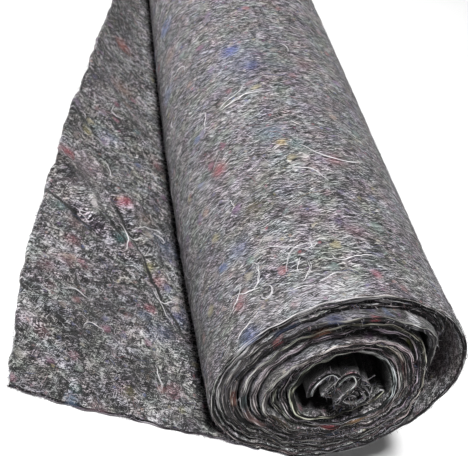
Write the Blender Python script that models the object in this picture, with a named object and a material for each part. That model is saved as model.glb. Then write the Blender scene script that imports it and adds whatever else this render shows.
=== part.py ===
"""Roll of protective fleece with its loose end pulled out on the floor.

The fleece is one length of thick needled felt, wound loosely from a crumpled core.
The roll lies along Y with its near end at low Y. Seen from there the sheet runs in
from the left along the floor, passes under the roll, climbs its right side and winds
on over the top, so each turn lies inside the one before it.
"""

import math

import bmesh
import bpy

# Felt and roll, in metres
FELT = 0.0032
CLEARANCE = 0.0003
ROLL_RADIUS = 0.085
ROLL_LENGTH = 1.0

# The outer turn steps in by one felt where the loose end slides under the roll
STEP = FELT + CLEARANCE
SEAM_X = -0.008
# The roll sinks by this much, which flattens its outline over a width of about 36 mm
FLATTENED = 0.0019
AXIS_HEIGHT = ROLL_RADIUS - FLATTENED

# The end faces show the turns as bands, two felts and their air to a band
BANDS = 8
BAND = 0.0067
NEAR_GROOVE = 0.006
FAR_GROOVE = 0.004
# Turns above the flat are pressed to this share of their height
PRESSED = 0.5
# The middle of the winding has slipped to the right and down
CORE_SHIFT_X = 0.0075
CORE_SHIFT_Z = -0.0060

# The outer turn stands off the turns inside it at the near end
POCKET_DEPTH = 0.045
POCKET_ANGLE = 42
POCKET_SPREAD = 38
POCKET_PUSH = 0.011
POCKET_FADE = 2.5

# Hollow round the crumpled core
VOID_DEPTH = 0.040
CORE_RADIUS = 0.0165
CORE_RECESS = 0.001
CORE_CREST = 0.004

COLUMNS = 60
ROWS = 20
FLAP_COLUMNS = 28
FLAP_ROWS = 44

# Unevenness of the roll's outline. Angles in degrees, anticlockwise from +X seen from
# the near end, and places in metres from the near end.
# columns: angle, spread, from_near, reach, height
OUTLINE_LUMPS = [
    (219, 42, 0.20, 0.27, 0.0085),
    (118, 34, 0.00, 0.05, 0.0034),
    (58, 26, 0.00, 0.04, 0.0020),
    (-6, 36, 0.00, 0.11, -0.0055),
    (80, 50, 0.62, 0.18, -0.0020),
    (150, 40, 0.85, 0.12, 0.0025),
    (20, 45, 0.45, 0.16, 0.0018),
    (200, 40, 0.62, 0.12, -0.0030),
]

# How far the edges of the turns stand proud of the near end, along the winding
# columns: turns_in, proud
NEAR_PROUD = [
    (0.0, 0.0000),
    (1.0, 0.0010),
    (2.0, -0.0015),
    (3.0, 0.0005),
    (4.2, -0.0025),
    (4.8, -0.0020),
    (5.3, 0.0040),
    (6.4, 0.0030),
    (7.3, -0.0020),
    (9.0, -0.0040),
]
FAR_PROUD = [
    (0.0, 0.0000),
    (2.5, 0.0015),
    (4.5, -0.0015),
    (7.0, 0.0010),
    (9.0, -0.0030),
]

# Folds round the crumpled core
# columns: angle, spread, height
CORE_FOLDS = [
    (10, 26, 0.0075),
    (75, 20, -0.0035),
    (125, 24, 0.0020),
    (170, 26, -0.0030),
    (228, 24, 0.0015),
    (300, 26, 0.0055),
]

# Free edge of the loose end, measured from under the roll's axis
# columns: from_near, reach
FLAP_REACH = [
    (0.000, 0.194),
    (0.070, 0.190),
    (0.135, 0.182),
    (0.205, 0.170),
    (0.300, 0.154),
    (0.420, 0.128),
    (0.570, 0.096),
    (0.720, 0.078),
    (0.860, 0.069),
    (1.000, 0.064),
]

# Creases and low folds of the loose end, as straight ridges
# columns: start_x, start_from_near, end_x, end_from_near, width, height
FLAP_RIDGES = [
    (-0.164, 0.226, -0.122, 0.180, 0.014, 0.0065),
    (-0.122, 0.180, -0.096, 0.150, 0.013, 0.0045),
    (-0.100, 0.205, -0.080, 0.150, 0.013, 0.0050),
    (-0.080, 0.150, -0.060, 0.100, 0.012, 0.0035),
    (-0.165, 0.070, -0.110, 0.045, 0.022, 0.0020),
    (-0.120, 0.360, -0.070, 0.300, 0.016, 0.0035),
]

# The far part of the free edge is lifted off the floor
# columns: from_near, lift
FLAP_LIFT = [
    (0.00, 0.000),
    (0.16, 0.000),
    (0.24, 0.006),
    (0.36, 0.016),
    (0.50, 0.018),
    (0.70, 0.010),
    (1.00, 0.004),
]
# The floor stretch beside the roll that stays flat, from under the roll's axis
FLAP_FLAT = 0.055

# The cut edge of the loose end bows out past the roll's near end
# columns: reach_out, bow
FLAP_BOW = [
    (0.000, 0.0000),
    (0.060, 0.0010),
    (0.120, 0.0022),
    (0.170, 0.0024),
    (0.194, 0.0002),
]

FELT_COLOUR = (0.115, 0.112, 0.118, 1.0)


def clear_scene():
    for obj in list(bpy.data.objects):
        bpy.data.objects.remove(obj, do_unlink=True)


def felt_material():
    """Needled felt of mixed recycled fibres, fully matt."""
    material = bpy.data.materials.new("needled_felt")
    material.use_nodes = True
    shader = material.node_tree.nodes["Principled BSDF"]
    shader.inputs["Base Color"].default_value = FELT_COLOUR
    shader.inputs["Roughness"].default_value = 0.95
    shader.inputs["Metallic"].default_value = 0.0
    return material


def bell(distance, spread):
    return math.exp(-(distance / spread) ** 2)


def angle_between(a, b):
    """Smallest turn from b to a, in degrees."""
    return (a - b + 180.0) % 360.0 - 180.0


def read_table(table, place):
    """Value at a place in a table of two columns, on a smooth curve through its rows."""
    last = len(table) - 1
    if place <= table[0][0]:
        return table[0][1]
    if place >= table[last][0]:
        return table[last][1]
    row = next(index for index in range(last) if place <= table[index + 1][0])
    low, first = table[row]
    high, second = table[row + 1]
    before, value_before = table[max(row - 1, 0)]
    after, value_after = table[min(row + 2, last)]
    span = high - low
    slope_in = (second - value_before) / (high - before) * span
    slope_out = (value_after - first) / (after - low) * span
    share = (place - low) / span
    bend = share * (1.0 - share)
    eased = share * share * (3.0 - 2.0 * share)
    return first + (second - first) * eased + bend * ((1.0 - share) * slope_in - share * slope_out)


def spiral_radius(turns_in):
    """Plain radius of the winding after so many turns inwards."""
    if turns_in <= 1.0:
        return ROLL_RADIUS - STEP * turns_in
    return ROLL_RADIUS - STEP - BAND * (turns_in - 1.0)


def column_angle(turn_share):
    seam_angle = -90.0 + math.degrees(math.asin(SEAM_X / ROLL_RADIUS))
    return seam_angle + 360.0 * turn_share


def outline_radius(turn_share, from_near):
    """Radius of the outer turn, with the lumps of a loosely wound roll."""
    angle = column_angle(turn_share)
    radius = spiral_radius(turn_share)
    for lump_angle, spread, place, reach, height in OUTLINE_LUMPS:
        radius += height * bell(angle_between(angle, lump_angle), spread) * bell(from_near - place, reach)
    return radius


def band_radius(band, turn_share, from_near, pocket):
    """Radius of the outer edge of a band. Band 0 is the outline."""
    if band == 0:
        return outline_radius(turn_share, from_near)
    turns_in = band + turn_share
    angle = column_angle(turn_share)
    push = POCKET_PUSH * bell(angle_between(angle, POCKET_ANGLE), POCKET_SPREAD)
    push *= math.exp(-(turns_in - 1.0) / POCKET_FADE) * pocket
    wobble = 0.0006 * math.sin(math.radians(5.0 * angle) + 1.7 * turns_in)
    return spiral_radius(turns_in) - push + wobble * min(1.0, turns_in - 1.0)


def pressed_level(band, turn_share):
    """Lowest height of a band's outer edge over the floor, at the flat."""
    if band == 0:
        return 0.0 if turn_share < 0.5 else STEP
    sunk = ROLL_RADIUS - spiral_radius(band + turn_share)
    return STEP + PRESSED * (sunk - STEP)


def winding_point(band, share, turn_share, from_near, pocket=0.0):
    """Place across the roll, with share running from one band's edge to the next.

    The result is (x, z) measured from the roll's axis.
    """
    outer = band_radius(band, turn_share, from_near, pocket)
    inner = band_radius(band + 1, turn_share, from_near, pocket)
    radius = outer + (inner - outer) * share
    level = pressed_level(band, turn_share)
    level += (pressed_level(band + 1, turn_share) - level) * share
    angle = math.radians(column_angle(turn_share))
    drift = max(0.0, band + turn_share + share - 1.0) / BANDS
    x = CORE_SHIFT_X * drift + radius * math.cos(angle)
    z = CORE_SHIFT_Z * drift + radius * math.sin(angle)
    return x, max(z, level - AXIS_HEIGHT)


def near_profile(band, turn_share):
    """Rings of a band at the near end, as (share across the band, depth of the face)."""
    outer = band_radius(band, turn_share, 0.0, 1.0)
    inner = band_radius(band + 1, turn_share, 0.0, 1.0)
    width = outer - inner
    felt_share = min(FELT, 0.55 * width) / width
    proud = read_table(NEAR_PROUD, band + turn_share)
    depth = NEAR_GROOVE - proud
    if band == 0:
        seam_fade = min(1.0, turn_share / 0.12)
        depth *= seam_fade
        angle = column_angle(turn_share)
        depth += POCKET_DEPTH * bell(angle_between(angle, POCKET_ANGLE), 0.9 * POCKET_SPREAD)
        proud *= seam_fade
    lip = 0.06
    return [(0.0, -proud), (felt_share, -proud), (felt_share + lip, depth), (1.0 - lip, depth)]


def far_profile(band, turn_share):
    """Rings of a band at the far end, with a plain shallow groove."""
    proud = read_table(FAR_PROUD, band + turn_share)
    fade = min(1.0, turn_share / 0.12) if band == 0 else 1.0
    return [(0.0, -proud * fade), (0.6, (FAR_GROOVE - proud) * fade)]


def core_loops(near):
    """Loops from the last turn down into the hollow and up over the crumpled core.

    Each loop is (radius share between hollow wall and middle, depth, folded).
    """
    if near:
        return [(1.00, VOID_DEPTH, 0.0), (0.62, VOID_DEPTH, 1.0), (0.55, CORE_RECESS + 0.004, 1.0),
                (0.42, CORE_RECESS, 1.0), (0.20, CORE_RECESS - CORE_CREST, 0.6)]
    return [(0.80, 0.012, 0.0), (0.35, 0.008, 0.3)]


def core_point(turn_share, radius_share, folded):
    angle = column_angle(turn_share)
    hollow = 0.93 * spiral_radius(BANDS + turn_share)
    folds = 0.0
    for fold_angle, spread, height in CORE_FOLDS:
        folds += height * bell(angle_between(angle, fold_angle), spread)
    crumpled = (CORE_RADIUS + folds) * radius_share / 0.62
    radius = hollow * radius_share * (1.0 - folded) + crumpled * folded
    x = CORE_SHIFT_X + radius * math.cos(math.radians(angle))
    z = CORE_SHIFT_Z + radius * math.sin(math.radians(angle))
    return x, z


def end_face(mesh, edge, profile, place, inwards, pocket):
    """Close one end of the roll with its spiral of bands and its core.

    edge holds the outline's vertices, one for each column and one more where the outer
    turn has come round to the seam. The return value is the seam's vertices, outer first.
    """
    rings = [[edge[column]] for column in range(COLUMNS)]
    near_y = 0.0 if inwards > 0 else ROLL_LENGTH
    for column in range(COLUMNS):
        turn_share = column / COLUMNS
        for band in range(BANDS):
            for share, depth in profile(band, turn_share):
                if band == 0 and share == 0.0:
                    continue
                if band == 1 and share == 0.0 and column == 0:
                    rings[0].append(edge[COLUMNS])
                    continue
                x, z = winding_point(band, share, turn_share, near_y, pocket)
                rings[column].append(mesh.verts.new((x, place + inwards * depth, z)))
        x, z = winding_point(BANDS - 1, 1.0, turn_share, near_y, pocket)
        proud = read_table(NEAR_PROUD if inwards > 0 else FAR_PROUD, BANDS + turn_share)
        rings[column].append(mesh.verts.new((x, place - inwards * proud, z)))
    per_band = len(profile(1, 0.0))
    last = len(rings[0]) - 1
    for column in range(COLUMNS - 1):
        for ring in range(last):
            mesh.faces.new((rings[column][ring], rings[column + 1][ring],
                            rings[column + 1][ring + 1], rings[column][ring + 1]))
    # Across the seam each ring runs on into the next band
    for ring in range(last - per_band):
        mesh.faces.new((rings[-1][ring], rings[0][ring + per_band],
                        rings[0][ring + per_band + 1], rings[-1][ring + 1]))
    for ring in range(last - per_band, last):
        mesh.faces.new((rings[-1][ring], rings[0][last], rings[-1][ring + 1]))
    loop = [ring[last] for ring in rings]
    for radius_share, depth, folded in core_loops(inwards > 0):
        fresh = []
        for column in range(COLUMNS):
            x, z = core_point(column / COLUMNS, radius_share, folded)
            fresh.append(mesh.verts.new((x, place + inwards * depth, z)))
        for column in range(COLUMNS):
            after = (column + 1) % COLUMNS
            mesh.faces.new((loop[column], loop[after], fresh[after], fresh[column]))
        loop = fresh
    mesh.faces.new(loop)
    return rings[0][:per_band + 1]


def row_place(row):
    """Rows lie closer together towards the near end."""
    share = row / ROWS
    return ROLL_LENGTH * (0.4 * share + 0.6 * share * share)


def build_roll(collection, material):
    """The wound form: uneven outline, step of the outer turn, spiral ends, core."""
    mesh = bmesh.new()
    lines = []
    for row in range(ROWS + 1):
        from_near = row_place(row)
        line = []
        for column in range(COLUMNS + 1):
            x, z = winding_point(0, 0.0, column / COLUMNS, from_near)
            line.append(mesh.verts.new((x, from_near, z)))
        lines.append(line)
    for near, far in zip(lines, lines[1:]):
        for column in range(COLUMNS):
            mesh.faces.new((near[column], near[column + 1], far[column + 1], far[column]))
    near_seam = end_face(mesh, lines[0], near_profile, 0.0, 1.0, 1.0)
    far_seam = end_face(mesh, lines[-1], far_profile, ROLL_LENGTH, -1.0, 0.0)
    # Step face where the outer turn comes round over the loose end
    inner = [line[COLUMNS] for line in lines]
    outer = [line[0] for line in lines]
    mesh.faces.new(near_seam[::-1] + [outer[1], inner[1]])
    for row in range(1, ROWS - 1):
        mesh.faces.new((outer[row], outer[row + 1], inner[row + 1], inner[row]))
    mesh.faces.new(far_seam + [inner[-2], outer[-2]])
    finish(mesh, "wound_roll", collection, material, (0.0, -ROLL_LENGTH / 2, AXIS_HEIGHT))


def ridge_height(x, from_near):
    """Height that the creases lift the loose end to at a place."""
    height = 0.0
    for start_x, start_y, end_x, end_y, width, rise in FLAP_RIDGES:
        along_x = end_x - start_x
        along_y = end_y - start_y
        share = (x - start_x) * along_x + (from_near - start_y) * along_y
        share = min(1.0, max(0.0, share / (along_x ** 2 + along_y ** 2)))
        off = math.hypot(x - start_x - share * along_x, from_near - start_y - share * along_y)
        height = max(height, rise * bell(off, width))
    return height


def flap_height(x, from_near):
    """Height of the loose end's underside over the floor."""
    reach = read_table(FLAP_REACH, from_near)
    out = max(0.0, -x - FLAP_FLAT) / max(0.02, reach - FLAP_FLAT)
    lift = read_table(FLAP_LIFT, from_near) * out * out
    ripple = 0.0006 * (1.0 + math.sin(31.0 * x + 19.0 * from_near)) * min(1.0, 3.0 * out)
    return lift + ripple + ridge_height(x, from_near) * min(1.0, 4.0 * out)


def build_loose_end(collection, material):
    """The first stretch of the felt, lying on the floor and tucked under the roll."""
    mesh = bmesh.new()
    layers = []
    for lifted in (0.0, FELT):
        grid = []
        for row in range(FLAP_ROWS + 1):
            share = row / FLAP_ROWS
            from_near = ROLL_LENGTH * (0.55 * share + 0.45 * share * share)
            reach = read_table(FLAP_REACH, from_near)
            start = CLEARANCE - outline_radius(0.0, from_near) * math.cos(math.radians(column_angle(0.0)))
            line = []
            for column in range(FLAP_COLUMNS + 1):
                x = -(start + (reach - start) * column / FLAP_COLUMNS)
                bow = read_table(FLAP_BOW, -x) * (1.0 - share)
                height = flap_height(x, from_near) + lifted
                line.append(mesh.verts.new((x, from_near - bow, height)))
            grid.append(line)
        layers.append(grid)
    under, over = layers
    for grid, up in ((under, False), (over, True)):
        for near, far in zip(grid, grid[1:]):
            for column in range(FLAP_COLUMNS):
                quad = (near[column], far[column], far[column + 1], near[column + 1])
                mesh.faces.new(quad if up else quad[::-1])
    for low, high in ((under[0], over[0]), (under[-1], over[-1])):
        for column in range(FLAP_COLUMNS):
            mesh.faces.new((low[column], low[column + 1], high[column + 1], high[column]))
    for column in (0, FLAP_COLUMNS):
        for row in range(FLAP_ROWS):
            mesh.faces.new((under[row][column], under[row + 1][column],
                            over[row + 1][column], over[row][column]))
    finish(mesh, "loose_end", collection, material, (0.0, -ROLL_LENGTH / 2, 0.0))


def finish(mesh, name, collection, material, location):
    """Turn the faces outwards and make the named object."""
    bmesh.ops.recalc_face_normals(mesh, faces=mesh.faces)
    data = bpy.data.meshes.new(name)
    mesh.to_mesh(data)
    mesh.free()
    data.shade_smooth()
    data.set_sharp_from_angle(angle=math.radians(40.0))
    data.materials.append(material)
    obj = bpy.data.objects.new(name, data)
    obj.location = location
    collection.objects.link(obj)


def main():
    clear_scene()
    collection = bpy.data.collections.new("fleece_roll")
    bpy.context.scene.collection.children.link(collection)
    material = felt_material()
    build_roll(collection, material)
    build_loose_end(collection, material)


main()
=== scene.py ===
"""Looks for the roll of protective fleece with its loose end out on the floor.

The fleece is needled felt of mixed recycled fibres, wound loosely from a crumpled core.
All is in metres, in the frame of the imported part: the roll lies along Y with its near
end at low Y, and the floor is Z = 0. Places along the roll count from its near end, and
places along the winding count in turns inwards from the seam under the roll.
"""

import functools
import math

import bpy
import numpy as np
from mathutils import Matrix, Vector, noise


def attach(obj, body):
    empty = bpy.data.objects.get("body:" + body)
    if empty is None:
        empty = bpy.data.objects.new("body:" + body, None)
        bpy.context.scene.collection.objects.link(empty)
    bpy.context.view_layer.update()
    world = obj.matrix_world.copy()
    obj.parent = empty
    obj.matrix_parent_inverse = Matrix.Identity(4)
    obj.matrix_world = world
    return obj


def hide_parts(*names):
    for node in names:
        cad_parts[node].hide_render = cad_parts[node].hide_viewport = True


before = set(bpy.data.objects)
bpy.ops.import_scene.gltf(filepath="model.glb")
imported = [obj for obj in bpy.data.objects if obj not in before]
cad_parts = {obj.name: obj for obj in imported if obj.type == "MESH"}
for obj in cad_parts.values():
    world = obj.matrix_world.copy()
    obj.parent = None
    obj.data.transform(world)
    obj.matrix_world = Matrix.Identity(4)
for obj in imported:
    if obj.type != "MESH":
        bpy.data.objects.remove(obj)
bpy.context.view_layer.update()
scene = bpy.context.scene

# Felt and roll, as in the part
FELT = 0.0032
CLEARANCE = 0.0003
ROLL_RADIUS = 0.085
ROLL_LENGTH = 1.0
STEP = FELT + CLEARANCE
SEAM_X = -0.008
FLATTENED = 0.0019
AXIS_HEIGHT = ROLL_RADIUS - FLATTENED
NEAR_END = -0.5
ROUND = 2.0 * math.pi * ROLL_RADIUS

# Felt that isn't pressed stands this thick at its cut edges, and the outer turn this thick
FULLEST = 0.0046
OUTER_FULLEST = 0.0038
CORE_FELT = 0.0041
# Turns away from the ends lie this far apart
PITCH = 0.0052
# The first turn laps into the others here, out of sight under the roll
LAP = 1.06
LAST_TURN = 10.28
# Middle of the inner turns, from the roll's axis
MIDDLE_X = 0.0034
MIDDLE_Z = -0.0006
# How far in from the near end its own lie of the turns reaches
NEAR_REACH = 0.10
# How far in from the ends the felt swells, and cut edges stand proud
SWELL_REACH = 0.02
PROUD_REACH = 0.05
# Cut edges are rounded this much
ROUNDED = 0.0009
# Cut edges are numbered across the felt from here, clear of the places along the roll
EDGE_ROW = 3.0
# Fibres stray this far from straight lines
CURL = 0.007
# Felt nearer to the floor than this in the sharp creases would be pressed through
THINNEST = 0.0009
# The winding is measured in this many steps
WINDING_STEPS = 800
# Middle of the crumpled core over the floor, and how far it twists on its way in
CORE_X = 0.008
CORE_Z = 0.080
CORE_TWIST = 0.5

# Unevenness of the cut edges
# columns: height, radians per metre or turn, start
FREE_EDGE_WAVES = [(0.0004, 41.0, 0.0), (0.0005, 173.0, 1.0)]
FLAP_END_WAVES = [(0.0007, 97.0, 0.0), (0.0005, 331.0, 2.0)]
FIRST_TURN_WAVES = [(0.0005, 70.0, 0.0), (0.0003, 177.0, 1.0)]
INNER_TURN_WAVES = [(0.0006, 190.0, 0.0), (0.0005, 421.0, 1.0)]

# Unevenness of the roll's outline, as in the part
# columns: angle, spread, from_near, reach, height
OUTLINE_LUMPS = [
    (219, 42, 0.20, 0.27, 0.0085),
    (118, 34, 0.00, 0.05, 0.0034),
    (58, 26, 0.00, 0.04, 0.0020),
    (-6, 36, 0.00, 0.11, -0.0055),
    (80, 50, 0.62, 0.18, -0.0020),
    (150, 40, 0.85, 0.12, 0.0025),
    (20, 45, 0.45, 0.16, 0.0018),
    (200, 40, 0.62, 0.12, -0.0030),
]

# Outer faces of the inner turns at the near end, in mm from their middle
# columns: bottom, lower_right, right, upper_right, top, upper_left, left, lower_left
TURN_RADII = [
    (79.0, 76.0, 70.8, 66.0, 81.2, 84.4, 83.4, 84.4),
    (75.2, 72.2, 67.2, 62.0, 77.8, 80.6, 79.4, 80.8),
    (71.2, 68.4, 63.9, 58.6, 74.0, 76.6, 75.0, 75.8),
    (67.0, 64.5, 60.1, 54.5, 62.4, 63.6, 66.4, 69.6),
    (62.2, 60.4, 56.5, 50.8, 57.4, 57.2, 59.8, 62.8),
    (57.0, 56.2, 52.8, 47.2, 51.8, 51.8, 52.6, 56.6),
    (52.6, 52.0, 49.0, 43.4, 44.6, 41.6, 43.0, 49.4),
    (48.4, 47.8, 44.9, 39.5, 39.4, 36.8, 37.8, 43.6),
    (44.2, 43.4, 40.7, 35.6, 34.6, 32.0, 32.8, 37.6),
    (39.0, 31.5, 35.6, 31.0, 30.0, 28.0, 28.5, 30.6),
]

# How far the cut edge of each stretch stands proud of the near end, in mm
# columns: turns_in, proud
NEAR_PROUD = [
    (0.00, 0.0), (0.50, 0.3), (1.00, 0.5), (1.20, -0.5), (1.25, -3.0), (1.29, -14.0),
    (1.33, -24.0), (1.37, -28.0), (1.41, -20.0), (1.44, -8.0), (1.48, -1.0), (1.75, -0.8),
    (2.00, -1.0), (2.22, -1.0), (2.26, -4.0), (2.30, -14.0), (2.35, -22.0), (2.39, -22.0),
    (2.42, -12.0), (2.46, -3.0), (2.52, -0.5), (2.75, 0.5), (3.05, -0.5), (3.30, -2.0),
    (3.38, -3.0), (3.44, 1.0), (3.49, 6.5), (3.54, 8.5), (3.60, 7.0), (3.68, 3.5),
    (3.76, 1.5), (4.00, -1.0), (4.35, 1.0), (4.60, 0.0), (4.85, 1.5), (5.10, -1.0),
    (5.50, -1.0), (5.80, 1.0), (6.10, -0.5), (6.40, 1.5), (6.60, 5.0), (6.78, 6.5),
    (6.92, 3.0), (7.10, 0.0), (7.30, -1.0), (7.60, -3.0), (8.00, -1.0), (8.20, 0.5),
    (8.50, -3.0), (9.00, -1.0), (9.30, 1.0), (9.60, -4.0), (10.00, 1.5), (10.15, -1.0),
    (10.30, -5.0),
]
FAR_PROUD = [
    (0.0, 0.0), (2.5, 1.5), (4.5, -1.5), (7.0, 1.0), (9.0, -2.5), (10.3, -1.0),
]

# Free edge of the loose end, from under the roll's axis, as in the part
# columns: from_near, reach
FLAP_REACH = [
    (0.000, 0.194), (0.070, 0.190), (0.135, 0.182), (0.205, 0.170), (0.300, 0.154),
    (0.420, 0.128), (0.570, 0.096), (0.720, 0.078), (0.860, 0.069), (1.000, 0.064),
]
# Creases and low folds of the loose end, as in the part
# columns: start_x, start_from_near, end_x, end_from_near, width, height
FLAP_RIDGES = [
    (-0.164, 0.226, -0.122, 0.180, 0.014, 0.0065),
    (-0.122, 0.180, -0.096, 0.150, 0.013, 0.0045),
    (-0.100, 0.205, -0.080, 0.150, 0.013, 0.0050),
    (-0.080, 0.150, -0.060, 0.100, 0.012, 0.0035),
    (-0.165, 0.070, -0.110, 0.045, 0.022, 0.0020),
    (-0.120, 0.360, -0.070, 0.300, 0.016, 0.0035),
]
# Sharp creases in the loose end's upper face
# columns: start_x, start_from_near, end_x, end_from_near, width, depth
FLAP_CREASES = [
    (-0.184, 0.198, -0.152, 0.183, 0.0052, 0.0016),
    (-0.164, 0.191, -0.126, 0.160, 0.0056, 0.0022),
    (-0.113, 0.204, -0.092, 0.152, 0.0044, 0.0016),
    (-0.098, 0.166, -0.074, 0.110, 0.0052, 0.0020),
    (-0.080, 0.124, -0.058, 0.078, 0.0044, 0.0018),
    (-0.128, 0.186, -0.102, 0.154, 0.0040, 0.0012),
    (-0.150, 0.300, -0.120, 0.275, 0.0040, 0.0012),
    (-0.130, 0.112, -0.100, 0.120, 0.0036, 0.0010),
]
# columns: from_near, lift
FLAP_LIFT = [
    (0.00, 0.000), (0.16, 0.000), (0.24, 0.006), (0.36, 0.016), (0.50, 0.018),
    (0.70, 0.010), (1.00, 0.004),
]
FLAP_FLAT = 0.055
# Rows of the loose end are closest where it is creased
# columns: share of rows, from_near
FLAP_ROWS = [
    (0.00, 0.000), (0.25, 0.118), (0.50, 0.236), (0.70, 0.350), (0.85, 0.580), (1.00, 1.000),
]
# columns: reach_out, bow
FLAP_BOW = [
    (0.000, 0.0000), (0.060, 0.0010), (0.120, 0.0022), (0.170, 0.0024), (0.194, 0.0002),
]

# Lie of the crumpled core across the roll, in mm from the roll's axis and the floor
# columns: x, z, proud
CORE_PATH = [
    (38.0, 86.2, -8.0), (35.0, 77.0, -24.0), (28.5, 70.0, -34.0), (20.5, 64.5, -34.0),
    (12.5, 60.6, -26.0), (4.5, 59.6, -16.0), (-4.0, 61.2, -6.0), (-10.5, 66.0, 0.0),
    (-14.5, 73.5, 1.0), (-14.5, 81.5, 0.5), (-12.0, 87.8, 0.0), (-8.6, 88.2, 2.0),
    (-8.2, 81.5, 3.0), (-8.4, 74.0, 2.5), (-6.0, 69.0, 1.0), (-3.2, 70.0, 0.5),
    (-3.2, 76.0, 2.0), (-3.6, 84.0, 3.5), (-3.2, 90.6, 2.0), (0.4, 94.8, 1.5),
    (3.8, 92.4, 4.0), (2.4, 86.0, 6.0), (1.8, 78.0, 6.5), (3.0, 70.5, 5.5),
    (7.0, 66.0, 2.5), (13.0, 67.0, 1.5), (20.0, 70.2, 2.0), (26.0, 75.0, 3.0),
    (26.4, 82.0, 2.5), (22.0, 88.4, 1.0), (15.6, 92.2, -0.5), (10.4, 91.4, -0.5),
    (9.0, 86.8, 2.0), (14.0, 85.6, 4.0), (19.8, 82.0, 4.5), (19.4, 77.4, 4.5),
    (13.4, 74.6, 5.0), (8.0, 74.8, 4.5), (8.6, 79.6, 5.0), (13.0, 80.2, 5.0),
]

# Rows of the hidden turns crowd towards both ends
INNER_ROWS = [0.0, 0.0012, 0.003, 0.006, 0.010, 0.015, 0.022, 0.032, 0.048, 0.075, 0.12, 0.20,
              0.35, 0.55, 0.75, 0.88, 0.95, 0.98, 0.992, 0.998, 1.0]


# Lie of the felt


def bell(distance, spread):
    return np.exp(-(distance / spread) ** 2)


def ease(share):
    share = np.clip(share, 0.0, 1.0)
    return share * share * (3.0 - 2.0 * share)


def in_metres(table, *columns):
    return [tuple(value / 1000.0 if column in columns else value
                  for column, value in enumerate(row)) for row in table]


def waves(table, place):
    return sum(height * np.sin(often * place + start) for height, often, start in table)


def read_table(table, place):
    """Values at places in a table of two columns, on a smooth curve through its rows."""
    at, value = np.array(table, float).T
    slope = np.empty(len(at))
    slope[1:-1] = (value[2:] - value[:-2]) / (at[2:] - at[:-2])
    slope[0] = (value[1] - value[0]) / (at[1] - at[0])
    slope[-1] = (value[-1] - value[-2]) / (at[-1] - at[-2])
    place = np.clip(place, at[0], at[-1])
    row = np.clip(np.searchsorted(at, place, side="right") - 1, 0, len(at) - 2)
    span = at[row + 1] - at[row]
    share = (place - at[row]) / span
    bend = share * (1.0 - share) * span
    rise = value[row] + (value[row + 1] - value[row]) * share * share * (3.0 - 2.0 * share)
    return rise + bend * ((1.0 - share) * slope[row] - share * slope[row + 1])


def turn_angle(turns_in):
    seam_angle = -90.0 + math.degrees(math.asin(SEAM_X / ROLL_RADIUS))
    return seam_angle + 360.0 * turns_in


def outline_lumps(angle, from_near):
    height = 0.0
    for lump_angle, spread, place, reach, rise in OUTLINE_LUMPS:
        off = (angle - lump_angle + 180.0) % 360.0 - 180.0
        height = height + rise * bell(off, spread) * bell(from_near - place, reach)
    return height


def near_radius(turns_in):
    """Radius of the inner turns at the near end."""
    radii = [(1.0 + index / 8.0, radius / 1000.0)
             for index, radius in enumerate(r for row in TURN_RADII for r in row)]
    return read_table(radii, turns_in)


def wound_place(turns_in, from_near):
    """Outer face of the felt on the winding, as x and height over the floor."""
    angle = turn_angle(turns_in)
    lumps = outline_lumps(angle, from_near)
    outline = ROLL_RADIUS - STEP * turns_in + lumps
    plain = ROLL_RADIUS - STEP - PITCH * (turns_in - 1.0)
    # the outline's lumps die out over four turns
    plain = plain + lumps * np.clip(1.0 - (turns_in - 1.0) / 4.0, 0.0, 1.0)
    inner = plain + (near_radius(turns_in) - plain) * bell(from_near, NEAR_REACH)
    inward = ease((turns_in - 1.0) / 0.2)
    radius = outline + (inner - outline) * inward
    x = MIDDLE_X * inward + radius * np.cos(np.radians(angle))
    z = AXIS_HEIGHT + MIDDLE_Z * inward + radius * np.sin(np.radians(angle))
    # no turn lies lower than the ones that it rests on
    pressed = STEP * np.minimum(np.floor(turns_in + 0.5), 3.0)
    return x, np.maximum(z, pressed)


def end_shift(turns_in, at_near, at_far):
    """How far the cut edges stand out along Y, given how near each end is."""
    near = -read_table(NEAR_PROUD, turns_in) / 1000.0 * at_near
    far = read_table(FAR_PROUD, turns_in) / 1000.0 * at_far
    return near + far


def flap_height(x, from_near):
    """Underside of the loose end over the floor, as in the part."""
    reach = read_table(FLAP_REACH, from_near)
    out = np.maximum(0.0, -x - FLAP_FLAT) / np.maximum(0.02, reach - FLAP_FLAT)
    lift = read_table(FLAP_LIFT, from_near) * out * out
    ripple = 0.0006 * (1.0 + np.sin(31.0 * x + 19.0 * from_near)) * np.minimum(1.0, 3.0 * out)
    ridges = along_lines(FLAP_RIDGES, x, from_near) * np.minimum(1.0, 4.0 * out)
    return lift + ripple + ridges


def along_lines(table, x, from_near):
    """Greatest height of straight ridges or creases at places on the loose end."""
    height = np.zeros_like(x)
    for start_x, start_y, end_x, end_y, width, rise in table:
        along_x = end_x - start_x
        along_y = end_y - start_y
        share = (x - start_x) * along_x + (from_near - start_y) * along_y
        share = np.clip(share / (along_x ** 2 + along_y ** 2), 0.0, 1.0)
        off = np.hypot(x - start_x - share * along_x, from_near - start_y - share * along_y)
        height = np.maximum(height, rise * bell(off, width))
    return height


def wavy(points, scale, seed, octaves=3):
    """Smooth unevenness from about -1 to 1 at points, with lumps about scale apart."""
    offset = Vector((seed * 17.3, seed * 5.1, seed * 9.7))
    return np.array([noise.fractal(Vector(p) / scale + offset, 0.9, 2.1, octaves) for p in points])


# Sheets of felt


def values_of(items, key, width=3, kind=float):
    """Values of a mesh's points or corners, a row for each."""
    values = np.empty(len(items) * width, kind)
    items.foreach_get(key, values)
    return values.reshape(-1, width)


def corners_of(mesh):
    return values_of(mesh.loops, "vertex_index", 1, int)[:, 0]


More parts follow.
